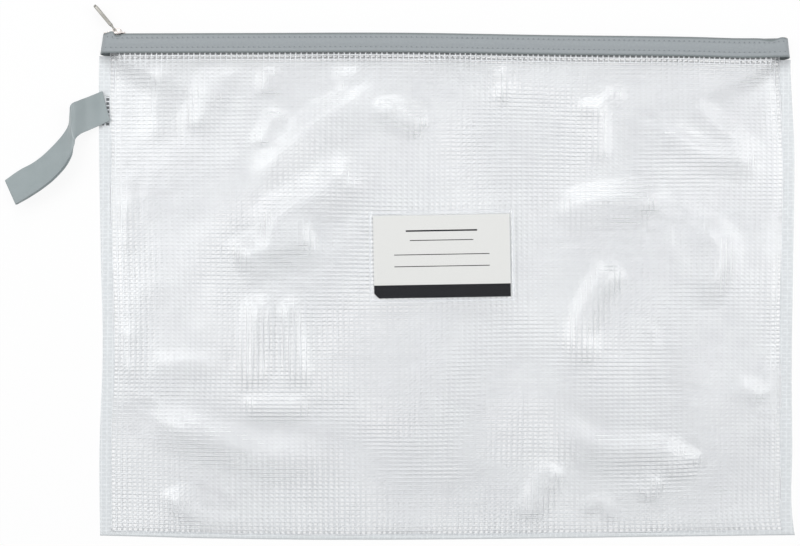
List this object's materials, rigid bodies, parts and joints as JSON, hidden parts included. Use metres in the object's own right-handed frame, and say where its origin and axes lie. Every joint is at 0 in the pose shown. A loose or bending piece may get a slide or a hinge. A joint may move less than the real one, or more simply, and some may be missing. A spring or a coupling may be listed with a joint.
{
  "type": "mesh zipper pouch",
  "caption": "Large flat document pouch of clear mesh-reinforced film with a top zipper, a wrist strap and a label pocket.",
  "frame": {"origin": "middle of the back face, on the table that the pouch lies on", "axes": "+X along the zipper, the way the slider opens it; +Y from the bottom seam to the zipper; +Z out of the front"},
  "size_m": [0.5019, 0.3389, 0.0153],
  "materials": {
    "mesh_film": "clear glossy film over a fine white yarn grid",
    "sealed_film": "clear film pressed smooth by a heat seal",
    "zipper_tape": "grey close woven tape",
    "zipper_coil": "grey nylon coil",
    "thread": "grey sewing thread",
    "nickel": "polished warm nickel plate",
    "pull_metal": "satin nickel plate",
    "strap_band": "grey smooth faced band",
    "pocket_film": "thin clear film",
    "card": "off-white uncoated card"
  },
  "bodies": {
    "back_half": {"back_panel": "mesh_film", "left_side_seal": "sealed_film", "right_side_seal": "sealed_film", "bottom_seal": "sealed_film", "zipper_tape_back": "zipper_tape", "left_tape_end_back": "zipper_tape", "right_tape_end_back": "zipper_tape", "zipper_coil_back": "zipper_coil", "seam_thread_back": "thread", "top_stop_back": "nickel", "bottom_stop": "nickel", "strap_anchor": "strap_band"},
    "front_half": {"front_panel": "mesh_film", "zipper_tape_front": "zipper_tape", "left_tape_end_front": "zipper_tape", "right_tape_end_front": "zipper_tape", "zipper_coil_front": "zipper_coil", "seam_thread_front": "thread", "coil_thread_front": "thread", "top_stop_front": "nickel", "label_pocket": "pocket_film", "label_card": "card"},
    "slider": {"slider_body": "nickel"},
    "pull": {"pull_tab": "pull_metal"},
    "strap": {"wrist_strap": "strap_band"}
  },
  "joints": [
    {"name": "mouth_open", "type": "hinge", "parent": "back_half", "child": "front_half", "pos_m": [0, -0.1567, 0.0007], "axis": [1, 0, 0], "range_deg": [0, 10]},
    {"name": "slider_travel", "type": "slide", "parent": "back_half", "child": "slider", "axis": [1, 0, 0], "range_m": [0, 0.4155], "deforming": ["zipper_coil_front", "zipper_coil_back"]},
    {"name": "pull_swing", "type": "hinge", "parent": "slider", "child": "pull", "pos_m": [-0.2094, 0.16205, 0.005], "axis": [0, 0, 1], "range_deg": [-125, 45]},
    {"name": "strap_fold", "type": "hinge", "parent": "back_half", "child": "strap", "pos_m": [-0.22015, 0.1131, 0.0033], "axis": [0, 1, 0], "range_deg": [0, 75]}
  ],
  "couplings": [
    {"joint": "slider_travel", "follows": "mouth_open", "m_per_rad": 2.38}
  ]
}
